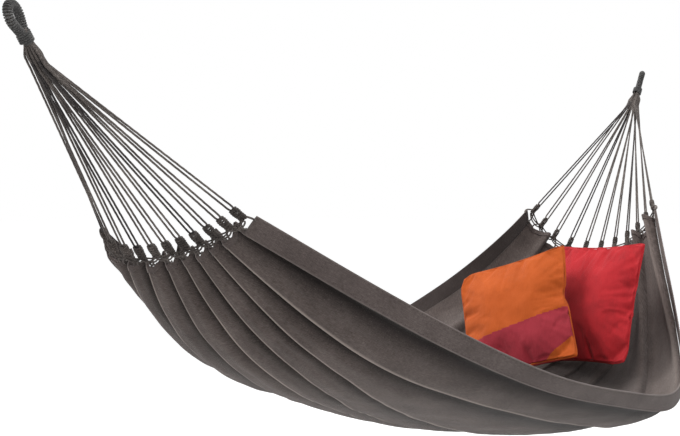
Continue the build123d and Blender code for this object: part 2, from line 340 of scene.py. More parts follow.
def clothLook(name, settings):
    # heavy hand-woven cotton: matt, a slubby weave, with painted shade that darkens the folds and a painted
    # highlight that makes the crests greyer, partly also the fading of crests by wear
    look = Look(name)
    flat = look.attribute("flat", "Vector")
    threads = look.weave(flat, (settings["threads"] / fullTurn * 2,) * 2, 1.2)
    slub = look.noise(look.stretch(flat, (22, 150, 1)), 4.0, 3.0)
    cross = look.noise(look.stretch(flat, (160, 24, 1)), 4.0, 3.0)
    tone = look.weighted((slub, 0.5), (cross, 0.3), (look.noise(look.place, 11.0, 5.0), 0.35))
    fold = look.attribute("fold", "Fac")
    base = look.dye(tone, 0.42, 0.74, settings)
    # painted highlight on the ridges, partly also the fading of crests by wear
    paintedLightColour = look.mix(look.grey(fold, 0.55, 1.0, 0.0, 0.75), base, settings["crest"])
    # painted shade in the grooves
    deep = look.mix(look.grey(fold, 0.0, 0.45, settings["shade"], 0.0), paintedLightColour, settings["valley"])
    fleck = look.math("GREATER_THAN", look.noise(flat, 520.0, 2.0), 0.66)
    shown = look.mix(look.math("MULTIPLY", fleck, 0.22), deep, settings["crest"])
    height = look.math("ADD", threads, look.math("MULTIPLY", slub, 0.8))
    return look.finish(shown, height, 0.0016, 0.7, 0.93, 0.12)


def ropeLook(name, settings):
    # twisted or braided cotton: matt, fine yarns along the lay, with painted shade dark between the strands
    look = Look(name)
    yarn = look.noise(look.place, settings["grain"], 3.0, 0.7)
    tone = look.weighted((yarn, 0.6), (look.noise(look.place, 14.0, 3.0), 0.4))
    # painted shade in the hollows between the strands
    paintedLightColour = look.hollows(look.dye(tone, 0.38, 0.64, settings, 0.55), 0.47, 0.56, 0.75, settings["groove"])
    return look.finish(paintedLightColour, yarn, 0.0006, 0.6, 0.95, 0.1)


def cottonLook(name, settings):
    # plain-woven cushion cotton: a fine weave with slightly uneven dye, and painted shade deeper in the
    # hollows
    look = Look(name)
    slub = look.noise(look.stretch(look.place, (8, 120, 8)), 5.0, 3.0)
    tone = look.weighted((slub, 0.35), (look.noise(look.place, 16.0, 4.0), 0.65))
    # painted shade in the hollows of the wrinkles, in the dark colour of the dye
    paintedLightColour = look.hollows(look.dye(tone, 0.2, 0.8, settings), 0.42, 0.49, 0.4, settings["dark"])
    height = look.math("ADD", look.weave(look.place, (330.0, 300.0), 0.7), slub)
    return look.finish(paintedLightColour, height, 0.0007, 0.45, 0.9, 0.04)


looks = {
    # in both cloth looks, crest is the painted highlight on the ridges, partly the fading of crests by wear,
    # and the colour of the light flecks; valley and shade are the painted shade in the grooves
    "cloth": clothLook("wovenCotton", {
        "threads": 420.0, "dark": "3f3633", "mid": "574d49", "light": "6f6460",
        "crest": "a3978f", "valley": "1b1615", "shade": 0.96}),
    "hem": clothLook("hemCotton", {
        "threads": 420.0, "dark": "413835", "mid": "574d4a", "light": "6c625e",
        "crest": "8d827d", "valley": "2c2523", "shade": 0.8}),
    # in the four rope looks, groove is the painted shade between the strands
    "cord": ropeLook("twistedCord", {
        "grain": 420.0, "dark": "373230", "mid": "5b5450", "light": "7f7872", "groove": "262120"}),
    "darkCord": ropeLook("darkTwistedCord", {
        "grain": 420.0, "dark": "262120", "mid": "3e3a3a", "light": "5b5651", "groove": "191616"}),
    "knot": ropeLook("braidedCotton", {
        "grain": 360.0, "dark": "26211f", "mid": "4c4541", "light": "766d68", "groove": "161312"}),
    "whipping": ropeLook("whippedCotton", {
        "grain": 380.0, "dark": "353434", "mid": "4a4948", "light": "7c7b79", "groove": "161514"}),
    # in the cushion looks, dark is the dye's dark end and also the painted shade in the hollows
    "orange": cottonLook("orangeCotton", {"dark": "92400f", "mid": "a94b15", "light": "b85723"}),
    "raspberry": cottonLook("raspberryCotton", {"dark": "741d26", "mid": "902732", "light": "a0333e"}),
    "red": cottonLook("redCotton", {"dark": "82151b", "mid": "a51d24", "light": "b4282d"}),
}
thread = Look("hemThread").finish("3a3330")      # dull dark stitching
zipLook = Look("zipPlastic").finish("7e2420", roughness=0.55, sheen=0.0)      # moulded zip
print("materials made")


# Shapes that the pieces share, from the same sizes as the solids

sizes = {
    "hookSpan": 2740 * mm, "eyeTilt": math.radians(56.5), "eyeTwist": (math.radians(25), math.radians(29)),
    "coreWidth": 13 * mm, "wrapWidth": 3.2 * mm, "wrapClearance": 0.3 * mm,
    "innerWidth": 24 * mm, "innerLength": 42 * mm, "limbGap": 0.4 * mm, "bendRadius": 12 * mm,
    "neckLength": 18 * mm, "ballWidth": 42 * mm, "ballDrop": 15 * mm,
    "cordWidth": 4 * mm, "clusters": 11, "fanPitch": 1.13, "rowGap": 4.45 * mm, "fanRows": 4,
    "leadLength": 18 * mm, "legSpread": 11 * mm, "seatGap": 0.3 * mm,
    "knotLength": 15 * mm, "loopHeight": 30 * mm,
    "clothThickness": 2 * mm, "sideHem": 46 * mm, "endHem": 14 * mm, "pleats": 10,
    "endPleat": 12 * mm, "middlePleat": 5 * mm, "fullness": math.radians(76),
}
frontRim = np.array([(525, -145, -400), (730, -400, -595), (1035, -570, -765), (1400, -605, -855),
                     (1780, -550, -888), (2095, -405, -735), (2277, -257, -427)]) * mm
backRim = np.array([(447, 218, -442), (760, 335, -620), (1065, 520, -752), (1410, 605, -880),
                    (1780, 578, -850), (2088, 410, -687), (2289, 195, -443)]) * mm
lowLine = np.array([(460, 89, -500), (690, -10, -775), (1045, -15, -905), (1412, -40, -1005),
                    (1786, -130, -997), (2133, -65, -879), (2375, 11, -593)]) * mm


class BedSurface:
    # the middle surface of the cloth: along 0 (foot) to 1 (head), across 0 (front rim) to 1 (back rim)

    def __init__(self, rows=241, columns=161):
        front, back, low = (evenLine(line, rows) for line in (frontRim, backRim, lowLine))
        middle, half = (front + back) / 2, (front - back) / 2
        drop = low - middle
        share = np.linspace(-1, 1, 401)
        turn = sizes["fullness"]
        acrossPart = np.sin(turn * share) / math.sin(turn)
        downPart = (np.cos(turn * share) - math.cos(turn)) / (1 - math.cos(turn))
        raw = (middle[:, None] - half[:, None] * acrossPart[None, :, None]
               + drop[:, None] * downPart[None, :, None])
        self.rows, self.columns = rows, columns
        self.grid = np.array([resample(line, columns) for line in raw])
        self.widths = np.array([lineLength(line) for line in raw])
        self.sectionNormal = unit(np.cross(half, drop))
        self.outward = unit(np.cross(unit(np.gradient(self.grid, axis=1)), self.sectionNormal[:, None, :]))

    def sample(self, values, along, across):
        # bilinear reading of a field at arrays of shares
        a = np.clip(along, 0.0, 1.0) * (self.rows - 1)
        b = np.clip(across, 0.0, 1.0) * (self.columns - 1)
        i, j = np.minimum(a.astype(int), self.rows - 2), np.minimum(b.astype(int), self.columns - 2)
        u, v = (a - i)[..., None], (b - j)[..., None]
        return ((values[i, j] * (1 - u) + values[i + 1, j] * u) * (1 - v)
                + (values[i, j + 1] * (1 - u) + values[i + 1, j + 1] * u) * v)

    def at(self, along, across):
        return self.sample(self.grid, along, across)

    def out(self, along, across):
        return unit(self.sample(self.outward, along, across))

    def width(self, along):
        return np.interp(along, np.linspace(0, 1, self.rows), self.widths)


bed = BedSurface()
print("bed surface laid out", [round(float(w) * 1000) for w in bed.widths[::60]])


def eyeFrame(end):
    # origin, pull, across and normal of an eye
    tilt, twist = sizes["eyeTilt"], sizes["eyeTwist"][end]
    way = 1 if end == 0 else -1
    pull = np.array((way * math.cos(tilt), 0, -math.sin(tilt)))
    level = np.array((math.sin(tilt), 0, way * math.cos(tilt)))
    across = level * math.cos(twist) + np.array((0, math.sin(twist), 0))
    return np.array((end * sizes["hookSpan"], 0, 0)), pull, across, np.cross(pull, across)


def eyeShape():
    # radii and heights along the pull, as the solids have them
    core, wrap = sizes["coreWidth"], sizes["wrapWidth"]
    wound = core / 2 + sizes["wrapClearance"] + wrap
    crown = sizes["innerWidth"] / 2 + wound
    limb = (core + sizes["limbGap"]) / 2
    drop = wound - limb
    middle = sizes["innerWidth"] / 2

    def slope(bend):
        return math.asin(crown / math.hypot(bend - middle, limb)) - math.atan2(limb, bend - middle)

    bend = sizes["innerLength"] + drop
    for _ in range(20):
        bend = sizes["innerLength"] + drop / math.tan(slope(bend))
    setback = sizes["bendRadius"] * math.tan(slope(bend) / 2)
    top = bend + setback + sizes["seatGap"]
    bottom = top + sizes["seatGap"] + sizes["neckLength"]
    return {"wound": wound, "crown": crown, "limb": limb, "middle": middle, "bend": bend,
            "slope": slope(bend), "top": top, "bottom": bottom, "ball": bottom + sizes["ballDrop"]}


eye = eyeShape()


def ballCentre(end):
    # middle of the rounded neck, where the cords come together
    origin, pull = eyeFrame(end)[:2]
    return origin + pull * eye["ball"]


# Suspension cords, each doubled: down one leg, over its knot and up the other

def evenShares(end, count):
    # shares of the cloth's width, from the middle of one side hem to the middle of the other
    hem = sizes["sideHem"] / bed.widths[end * (bed.rows - 1)]
    return hem / 2 + (1 - hem) * np.arange(count) / (count - 1)


def clusterPlaces(end):
    # each cord's foot on the cloth's edge, with its directions: up to the neck, along and square to its face,
    # along the edge, out of the cloth and away over the cloth's end
    ball = ballCentre(end)
    leave = bed.sectionNormal[end * (bed.rows - 1)] * (2 * end - 1)
    places = []
    for share in evenShares(end, sizes["clusters"]):
        foot = bed.at(float(end), share)
        up = unit(ball - foot)
        edge = unit(bed.at(float(end), share + 0.004) - bed.at(float(end), share - 0.004))
        along = unit(edge - up * np.dot(edge, up))
        places.append({"foot": foot, "up": up, "edge": edge, "along": along, "face": np.cross(along, up),
                       "out": bed.out(float(end), share), "leave": leave})
    return places


def legStarts(end):
    # where each leg leaves the rounded neck: a small copy of the cloth's edge in four rows
    pull = eyeFrame(end)[1]
    legs = 2 * sizes["clusters"]
    where = np.full(legs, float(end)), evenShares(end, legs)
    points, out = bed.at(*where), bed.out(*where)
    points = points - pull * (points @ pull)[:, None]
    out = unit(out - pull * (out @ pull)[:, None])
    scale = sizes["fanPitch"] * mm * (legs - 1) / lineLength(points)
    spots = points * scale + out * (np.arange(legs) % sizes["fanRows"] * sizes["rowGap"])[:, None]
    aside = spots - spots.mean(0)
    reach = sizes["ballWidth"] / 2 + sizes["seatGap"]
    far = np.maximum(0, np.linalg.norm(aside, axis=1) - sizes["cordWidth"] / 2)
    return ballCentre(end) + aside + pull * np.sqrt(reach ** 2 - far ** 2)[:, None]


cordSettings = {
    "base": sizes["loopHeight"] + 2 * sizes["seatGap"] + sizes["knotLength"] + sizes["cordWidth"] / 2,
    "pitch": 0.0105,       # lay of the three strands
    "full": 1.16,          # width over the strands, as a share of the cord's
    "depth": 0.16,         # groove between the strands
    "leadPoint": 18 * mm,  # extra control point past the lead's corner
    "knotPoint": 24 * mm,  # extra control point before the knot
    "dark": (3, 7, 10),    # cords of darker cotton
}


def cordRoute(end, starts, place):
    pull = eyeFrame(end)[1]
    lead = pull * sizes["leadLength"]
    half = sizes["legSpread"] / 2
    turns = [place["foot"] + place["along"] * (side * half) + place["up"] * cordSettings["base"]
             for side in (-1, 1)]
    legs = []
    for start, turn in zip(starts, turns):
        corner = start + lead
        down = unit(turn - corner)
        legs.append([start, corner, corner + down * cordSettings["leadPoint"],
                     turn - down * cordSettings["knotPoint"], turn])
    return np.array(legs[0] + legs[1][::-1])


def cords(end):
    starts, places = legStarts(end), clusterPlaces(end)
    for number, place in enumerate(places):
        name = f"{ends[end]}_cord_{number + 1:02d}"
        line = routeLine(cordRoute(end, starts[2 * number:2 * number + 2], place))
        dark = number in cordSettings["dark"]
        vertices, faces = ropeShell(line, sizes["cordWidth"] * cordSettings["full"], 3,
                                    cordSettings["pitch"], cordSettings["depth"], 12, number * 1.7)
        rope = addMesh(f"{name}_rope", vertices, faces, looks["darkCord" if dark else "cord"])
        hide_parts(name)
        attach(rope, "bed")
        lineLength(line)


for end in (0, 1):
    cords(end)
print("cords laid")


# Cloth: one sheet gathered into lengthwise pleats that overlap like shingles

clothSettings = {
    "rows": 281, "perPleat": 15, "flatLength": 2.31, "bandThickness": 3.4 * mm, "rollThickness": 6 * mm,
    # each ridge, by its number among even ones, and how far it drifts across in mid-length
    "drift": {1: -0.03, 2: 0.1, 3: 0.13, 4: 0.115, 5.2: 0.085, 6.6: 0.03, 8: 0.0},
    "bandPaintedLight": (0.16, -0.36),      # painted light inside the near band and painted shade inside the far band
    "grooveAt": 0.13,        # share of a pleat at which its groove is deepest
    "endDepth": 0.024, "middleDepth": 0.0085,
    "ridgeWidth": 0.045,     # share of a pleat
}


def smooth(low, high, value):
    t = np.clip((np.asarray(value, float) - low) / (high - low), 0, 1)
    return t * t * (3 - 2 * t)


def crestHeight(along):
    return sizes["middlePleat"] + (sizes["endPleat"] - sizes["middlePleat"]) * np.abs(2 * along - 1) ** 2


def ridgeShares(along):
    # shares of the width at which the ridges lie, from the front hem's edge to the back hem's edge
    hem = sizes["sideHem"] / bed.width(along)
    drift = smooth(0.14, 0.40, along) * (1 - smooth(0.62, 0.9, along))
    inner = [hem + (1 - 2 * hem) * (k + 0.5) / sizes["pleats"] + drift * shift
             for k, shift in clothSettings["drift"].items()]
    return np.array([hem, *inner, 1 - hem])


def wander(along, across, seed):
    # smooth unevenness from a few sine waves
    random = np.random.default_rng(seed)
    total = np.zeros(np.broadcast(along, across).shape)
    for _ in range(7):
        a, b, phase = random.uniform(1.5, 9), random.uniform(1, 16), random.uniform(0, 6.28)
        total = total + np.sin(fullTurn * (a * along + b * across) + phase) / 7
    return total


def pleatHeight(along, part):
    # outward height of the cloth at a place counted in pleats from the front, and its shade: 0 in a groove
    # and 1 on a ridge
    pleat = np.floor(part)
    x = part - pleat
    at = clothSettings["grooveAt"] * (1 + 0.25 * np.sin(pleat * 2.4 + along * 5))
    groove = x / at * np.exp(1 - x / at)
    ends = np.abs(2 * along - 1) ** 1.3
    strength = 1 + 0.3 * np.sin(pleat * 1.9 + along * 7.1)
    depth = (clothSettings["endDepth"] * ends + clothSettings["middleDepth"]) * strength
    bulge = np.sin(np.pi * x) * 0.25 * crestHeight(along)
    second = 0.0022 * ends * np.sin(fullTurn * (2.6 * x + 0.7 * pleat) + 3 * along) * np.sin(np.pi * x)
    height = crestHeight(along) * 0.9 - depth * groove + bulge * 0.5 + second
    flatten = smooth(0.56, 0.64, along) * (1 - smooth(0.9, 0.97, along)) * smooth(1.5, 2.6, part) * (
        1 - smooth(6.2, 7.4, part))
    height = height * (1 - flatten) + np.maximum(height, 0.0005) * flatten
    nearRidge = np.exp(-(np.minimum(x, 1 - x) / clothSettings["ridgeWidth"]) ** 2)
    return height, 0.5 + 0.5 * nearRidge * (0.75 + 0.25 * ends) - 0.5 * (groove * (1 - nearRidge)) ** 0.8


def sheetMesh(name, along, part, place, thickness, material, innerPaintedLight=0.0):
    # a closed sheet over a grid of rows (along) and columns (part), with its weave and fold attributes
    a, p = np.meshgrid(along, part, indexing="ij")
    middle, fold, across = place(a, p)
    normal = unit(np.cross(np.gradient(middle, axis=1), np.gradient(middle, axis=0)))
    if np.sum(normal * bed.out(a, across)) < 0:
        normal = -normal
    outer, inner = middle + normal * thickness / 2, middle - normal * thickness / 2
    vertices = np.concatenate([outer.reshape(-1, 3), inner.reshape(-1, 3)])
    piece = addMesh(name, vertices, closedFaces(len(along), len(part)), material)
    bm = bmesh.new()
    bm.from_mesh(piece.data)
    bmesh.ops.recalc_face_normals(bm, faces=bm.faces)
    bm.to_mesh(piece.data)
    bm.free()
    flat = np.stack([a * clothSettings["flatLength"], bed.width(a) * across, 0 * a], -1).reshape(-1, 3)
    layer = piece.data.attributes.new("flat", "FLOAT_VECTOR", "POINT")
    layer.data.foreach_set("vector", np.concatenate([flat, flat]).astype(np.float32).ravel())
    inside = 0.62 - 0.24 * fold + innerPaintedLight       # the folds turn round and are fainter inside, as painted shade and highlight, and the inner tone adds painted light above 0 and painted shade below it
    layer = piece.data.attributes.new("fold", "FLOAT", "POINT")
    layer.data.foreach_set("value", np.concatenate([fold.ravel(), inside.ravel()]).astype(np.float32))
    return piece


def panelPlace(along, part):
    ridges = ridgeShares(along[:, 0])            # ridge by row
    pleat = np.clip(np.floor(part), 0, len(ridges) - 2).astype(int)
    row = np.arange(len(along))[:, None]
    low, high = ridges.T[row, pleat], ridges.T[row, pleat + 1]
    across = low + (high - low) * (part - pleat)
    height, fold = pleatHeight(along, np.minimum(part, len(ridges) - 1.0001))
    height = height + 0.0030 * wander(along, across, 3) + 0.0016 * wander(along * 2.6, across * 2.2, 8)
    return bed.at(along, across) + bed.out(along, across) * height[..., None], fold, across


def hemPlace(back):
    def place(along, part):
        hem = sizes["sideHem"] / bed.width(along)
        across = 1 - hem * part if back else hem * part
        height = crestHeight(along) * 0.95 * part ** 1.6 + 0.0015 * wander(along, across * 0 + 0.3, 5 + back)
        height = height + 0.003 * part
        # the fold value rises towards both edges of the band: a painted highlight on its rolled edges
        return (bed.at(along, across) + bed.out(along, across) * height[..., None],
                0.5 + 0.32 * np.abs(2 * part - 1) ** 12, across)
    return place


def pleatColumns(pleatCount, each):
    # columns closer together in each groove
    step = np.r_[np.linspace(0, 0.93, each) ** 1.5, 0.94, 0.965, 0.985]
    return np.concatenate([k + step for k in range(pleatCount)] + [[pleatCount - 0.0002]])


bedLength = lineLength(evenLine(lowLine, 400))
endShare = sizes["endHem"] / bedLength
alongRows = np.linspace(endShare * 0.6, 1 - endShare * 0.6, clothSettings["rows"])
columns = pleatColumns(len(clothSettings["drift"]) + 1, clothSettings["perPleat"])
# inside, painted light on the pleat beside the near hem at the head end, where it turns to the light, and
# painted shade on the next ones, which lie in its shade; the whole inner face has a little painted shade
headShare = np.clip((alongRows[:, None] - 0.55) / 0.2, 0, 1)
nearPleat = np.clip(1.15 - columns, 0, 0.3) / 0.3
nextPleats = np.clip(3.6 - columns, 0, 0.9) / 0.9 - nearPleat
panelPaintedLight = headShare * (0.14 * nearPleat - 0.16 * nextPleats) - 0.05
panel = sheetMesh("cloth_sheet", alongRows, columns, panelPlace, sizes["clothThickness"], looks["cloth"],
                  panelPaintedLight)
hems = []
for back, name in enumerate(("front", "back")):
    band = sheetMesh(f"{name}_side_band", np.linspace(0.0005, 0.9995, 321), np.linspace(0, 1, 13),
                     hemPlace(back), clothSettings["bandThickness"], looks["hem"],
                     clothSettings["bandPaintedLight"][back])
    hems.append((band, f"{name}_side_hem"))
for end in (0, 1):
    rows = np.linspace(0, endShare, 7) if end == 0 else np.linspace(1 - endShare, 1, 7)
    band = sheetMesh(f"{ends[end]}_rolled_hem", rows, columns, panelPlace, clothSettings["rollThickness"],
                     looks["hem"])
    hems.append((band, f"{ends[end]}_end_hem"))
print("cloth laid")


# Knots and end loops

knotSettings = {
    "coil": (27 * mm, 50 * mm), "coilTurns": 4, "coilWidth": 4.8 * mm,
    "radius": (7.4 * mm, 5.6 * mm),      # of coil and braid, at the foot and at the head
    "braid": (12 * mm, 33 * mm), "braidTurns": 1.3, "braidWidth": (5.6 * mm, 4.4 * mm),
    "footSpread": (31, 38), "legWidth": 5.0 * mm,
    "drapeDrop": 9 * mm,
    # rope from knot to knot: heights over both feet, shares of the drop and of the way out, width and phase
    "drapes": ((15, 15, 1.0, 1.0, 4.5 * mm, 0.0), (24, 20, 0.5, 1.6, 4.25 * mm, 1.0),
               (18, 26, 0.2, 0.4, 4.25 * mm, 2.0)),
}


def near(place, **steps):
    # the point at steps in millimetres from a cord's foot in its directions
    return place["foot"] + sum(place[way] * (step * mm) for way, step in steps.items())


def knotRope(line, width, phase=0.0, pitch=0.012, depth=0.28):
    return ropeShell(line, width, 3, pitch, depth, 10, phase, 0.6)


def braid(place, low, high, width, strand, turns):
    # three strands plaited between two heights over the cloth's edge
    shells = []
    up = np.linspace(low, high, 48)
    for k in range(3):
        angle = 2 * np.pi * (turns * np.linspace(0, 1, 48) + k / 3)
        line = (place["foot"] + np.outer(up, place["up"]) + np.outer(np.sin(angle) * width, place["along"])
                + np.outer(np.sin(2 * angle) * width * 0.5, place["face"]))
        shells.append(knotRope(line, strand, k, 0.011, 0.25))
    return shells


def coil(place, low, high, radius, width, turns):
    # rope wound round the doubled cord, a little fuller in the middle
    share = np.linspace(0, 1, 28 * turns)
    angle = 2 * np.pi * turns * share
    full = radius * (1 + 0.18 * np.sin(np.pi * share))
    line = (place["foot"] + np.outer(low + (high - low) * share, place["up"])
            + np.outer(np.cos(angle) * full, place["along"])
            + np.outer(np.sin(angle) * full * 0.85, place["face"]))
    return knotRope(line, width, 0, 0.011, 0.25)


def hangingRope(first, second, drop, out, width, phase):
    # a rope that sags from one point to the next in front of the cloth
    points = [first, first * 0.8 + second * 0.2 + out * 4 * mm + drop * 0.7,
              (first + second) / 2 + out * 5 * mm + drop,
              first * 0.2 + second * 0.8 + out * 4 * mm + drop * 0.7, second]
    return knotRope(evenLine(points, 40), width, phase)


def knots(end):
    places = clusterPlaces(end)
    shells, legs = [], []
    radius, spread = knotSettings["radius"][end], knotSettings["footSpread"][end]
    for number, place in enumerate(places):
        shells.append(coil(place, *knotSettings["coil"], radius, knotSettings["coilWidth"],
                           knotSettings["coilTurns"]))
        shells += braid(place, *knotSettings["braid"], radius, knotSettings["braidWidth"][end],
                        knotSettings["braidTurns"])
        for side in (-1, 1):
            # one leg from the knot to the hem, over the hem's outer face and in under its edge
            aside = side * spread / 2
            points = [near(place, up=31, along=side * 3),
                      near(place, up=17, along=side * spread * 0.3, out=4),
                      near(place, edge=aside, out=7, up=5), near(place, edge=aside, out=7, leave=-6),
                      near(place, edge=aside, out=1, leave=-11)]
            legs.append(knotRope(evenLine(points, 36), knotSettings["legWidth"], number + side))
    for first, second in zip(places, places[1:]):
        drop = (first["leave"] + second["leave"]) * -0.5 * knotSettings["drapeDrop"]
        out = (first["out"] + second["out"]) / 2
        for k, (low, high, dropShare, outShare, width, phase) in enumerate(knotSettings["drapes"]):
            rope = hangingRope(near(first, up=low, out=6), near(second, up=high, out=6), drop * dropShare,
                               out * outShare, width, phase)
            (shells if k else legs).append(rope)
    knotPiece = addMesh(f"{ends[end]}_braided_knots", *joinShells(shells), looks["knot"])
    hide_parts(f"{ends[end]}_knots")
    loopPiece = addMesh(f"{ends[end]}_rope_loops", *joinShells(legs), looks["cord"])
    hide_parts(f"{ends[end]}_end_loops")
    for piece, name in ((knotPiece, "knot_cord"), (loopPiece, "loop_cord")):
        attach(piece, "bed")


for end in (0, 1):
    knots(end)
for band, node in hems:
    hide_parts(node)
    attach(band, "bed")
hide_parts("cloth_panel")
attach(panel, "bed")


# Stitching along the hems

stitchSettings = {
    "length": 7 * mm, "pitch": 11 * mm, "width": 1.5 * mm,
    "rows": (0.1, 0.88),                         # shares of the band's width
    "proud": 2.2 * mm, "arch": 0.6 * mm,         # over the band, and more in the middle of a stitch
    "endDrop": 0.8 * mm, "sideDrop": 0.6 * mm,
}


def stitches():
    # short raised stitches in two rows along each side hem
    shells = []
    count = int(bedLength / stitchSettings["pitch"])
    half = stitchSettings["length"] / bedLength / 2
    drops = [stitchSettings["endDrop"] * sign for sign in (-1, 0, -1)]
    for back in (0, 1):
        place = hemPlace(back)
        for a, part in [(k / count, part) for part in stitchSettings["rows"] for k in range(1, count)]:
            along = np.array([[a - half], [a], [a + half]])
            middle, _, across = place(along, np.full((3, 1), part))
            out = bed.out(along, across)
            points = (middle + out * stitchSettings["proud"])[:, 0]
            out = out[1, 0]
            points[1] += out * stitchSettings["arch"]
            side = unit(np.cross(points[2] - points[0], out)) * stitchSettings["width"] / 2
            vertices = []
            for point, lift in zip(points, drops):
                low = out * (lift - stitchSettings["sideDrop"])
                vertices += [point - side + low, point + out * lift, point + side + low]
            shells.append((vertices, gridFaces(3, 3)))
    return addMesh("hem_stitches", *joinShells(shells), thread)


seam = stitches()
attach(seam, "bed")
print("knots, loops and stitches made")


# Eyes: a bundle in close half-hitched turns, a bound neck and strands that open into the fan

def eyeLine(count=900):
    # centre line of the bundle in the eye's own frame: up one limb, round the crown and down the other
    slope, crown, middle, limb = eye["slope"], eye["crown"], eye["middle"], eye["limb"]
    turn = np.linspace(-(np.pi / 2 + slope), np.pi / 2 + slope, 200)
    arc = np.stack([middle - crown * np.cos(turn), -crown * np.sin(turn)], 1)
    bend = np.array([eye["bend"], limb])
    top = np.array([eye["top"], limb])
    start = [top, (top + bend) / 2, bend]
    line = np.concatenate([start, arc, [(b[0], -b[1]) for b in start[::-1]]])
    flat = np.concatenate([line, np.zeros((len(line), 1))], 1)
    even = resample(flat, count)
    for _ in range(30):
        even[1:-1] = (even[:-2] + 2 * even[1:-1] + even[2:]) / 4
    return even


eyeSettings = {
    "pitch": 4.7 * mm,                # from one half-hitched turn to the next
    "turnWidth": 4.3 * mm, "lean": 0.9 * mm,
    # the hitch: a short crossing strand on the inner side, by its steps along and across
    "hitch": ((-3.2, -2.2), (-1, -0.8), (1, 0.8), (3.2, 2.2)), "hitchWidth": 3.4 * mm, "hitchOut": 1.2 * mm,
    "strandWidth": 4.9 * mm, "strandInset": 3.4 * mm,
    "boundTurns": 4.5, "boundWidth": 4.4 * mm, "boundOut": 4.2 * mm,
    "blendEnd": 17 * mm,              # past the rounded neck's middle
}


def woundRope(line, width, sides, phase, taper=0.0):
    return ropeShell(line, width, 2, 0.012, 0.16, sides, phase, taper)


def halfHitches(toRow):
    # one turn after another round the bundle, each with its hitch, so that the hitches form a ridge
    line = eyeLine()
    alongLine = unit(np.gradient(line, axis=0))
    outward = np.stack([alongLine[:, 1], -alongLine[:, 0], 0 * alongLine[:, 0]], 1)
    if np.dot(outward[len(line) // 2], (-1, 0, 0)) < 0:
        outward = -outward
    shells = []
    turns = int(lineLength(line) / eyeSettings["pitch"])
    radius = eye["wound"] - eyeSettings["turnWidth"] / 2
    angle = np.linspace(0, 2 * np.pi, 40)
    edge = np.array((0, 0, 1.0))
    for k in range(turns):
        index = int((k + 0.5) / turns * (len(line) - 1))
        centre, way, out = line[index], alongLine[index], outward[index]
        ring = (centre + np.outer(np.cos(angle) * radius, out) + np.outer(np.sin(angle) * radius, edge)
                + np.outer(np.sin(angle) * eyeSettings["lean"], way))
        shells.append(woundRope(toRow(ring), eyeSettings["turnWidth"], 10, k))
        links = [centre - out * (radius + eyeSettings["hitchOut"]) + way * shift * mm + edge * rise * mm
                 for shift, rise in eyeSettings["hitch"]]
        shells.append(woundRope(toRow(evenLine(links, 14)), eyeSettings["hitchWidth"], 8, k, 0.8))
    return shells


def eyes(end):
    origin, pull, across, normal = eyeFrame(end)
    name = ends[end]
    frameAxes = np.stack([pull, across, normal])

    def toRow(points):
        return origin + np.asarray(points) @ frameAxes

    bundle = ropeShell(toRow(eyeLine()[::6]), sizes["coreWidth"] * 1.04, 5, 0.06, 0.2, 20)
    core = addMesh(f"{name}_eye_bundle", *bundle, looks["knot"])
    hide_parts(f"{name}_eye_core")
    whipping = addMesh(f"{name}_half_hitches", *joinShells(halfHitches(toRow)), looks["whipping"])
    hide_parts(f"{name}_eye_whipping")
    # the neck: strands that come out of the binding and open to where each leg begins
    start, low = eye["top"], eye["bottom"]
    neckRadius = eye["limb"] + sizes["coreWidth"] / 2 - eyeSettings["strandInset"]
    shells = []
    for k, leg in enumerate(legStarts(end)):
        aim = (leg - origin) @ frameAxes.T
        turn = math.atan2(aim[2], aim[1])
        share = min(1.0, math.hypot(aim[1], aim[2]) / (13 * mm))
        y, z = math.cos(turn) * neckRadius * share, math.sin(turn) * neckRadius * share * 0.8
        points = [(start - 9 * mm, y * 0.9, z * 0.9), (start + 4 * mm, y, z), (low, y, z),
                  (low + 12 * mm, y + (aim[1] - y) * 0.45, z + (aim[2] - z) * 0.45),
                  (aim[0] + 3 * mm, aim[1], aim[2])]
        shells.append(ropeShell(toRow(evenLine(points, 46)), eyeSettings["strandWidth"], 3,
                                cordSettings["pitch"], cordSettings["depth"], 12, k * 1.1))
    neck = addMesh(f"{name}_neck_bundle", *joinShells(shells), looks["cord"])
    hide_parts(f"{name}_eye_neck")
    angle = np.linspace(0, 2 * np.pi * eyeSettings["boundTurns"], 220)
    reach = neckRadius + eyeSettings["boundOut"]
    rise = np.linspace(start - 3 * mm, low - 1 * mm, len(angle))
    ring = np.stack([rise, np.cos(angle) * reach, np.sin(angle) * reach * 0.92], 1)
    binding = addMesh(f"{name}_bound_turns", *woundRope(toRow(ring), eyeSettings["boundWidth"], 12, 0, 0.6),
                      looks["whipping"])
    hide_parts(f"{name}_neck_binding")
    for piece, finish in ((core, "core_cord"), (whipping, "whipping_cord"), (binding, "whipping_cord")):
        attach(piece, "eyes")
    tuple(toRow((low, 0, 0)))
    tuple(toRow((eye["ball"] + eyeSettings["blendEnd"], 0, 0)))
    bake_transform(neck)


for end in (0, 1):
    eyes(end)
print("eyes made")


# Cushions: filled covers shaped by a cloth simulation, with an overlocked edge and a zip

cushionSettings = {
    "size": 365 * mm, "crown": 104 * mm, "edge": 9 * mm, "draw": 11 * mm, "power": 0.7,
    "start": 0.955,          # size of the cover before it is filled
    "flat": 0.62,            # crown before it is filled, as a share
    "voxel": 6 * mm, "frames": 20, "reach": 24 * mm,
    "pinStart": 0.86, "pinWidth": 0.08, "pin": 0.85,       # how near the seam the cloth is held, and how much
    "colourSeam": -38 * mm, "piping": 4.2 * mm, "stitch": 4.6 * mm, "zipLength": 250 * mm,
}
fillSettings = {
    "quality": 6, "mass": 0.25, "use_pressure": True, "uniform_pressure_force": 4.0, "tension_stiffness": 18,
    "bending_stiffness": 0.15, "shrink_min": -0.05, "vertex_group_mass": "seam", "pin_stiffness": 0.6,
}
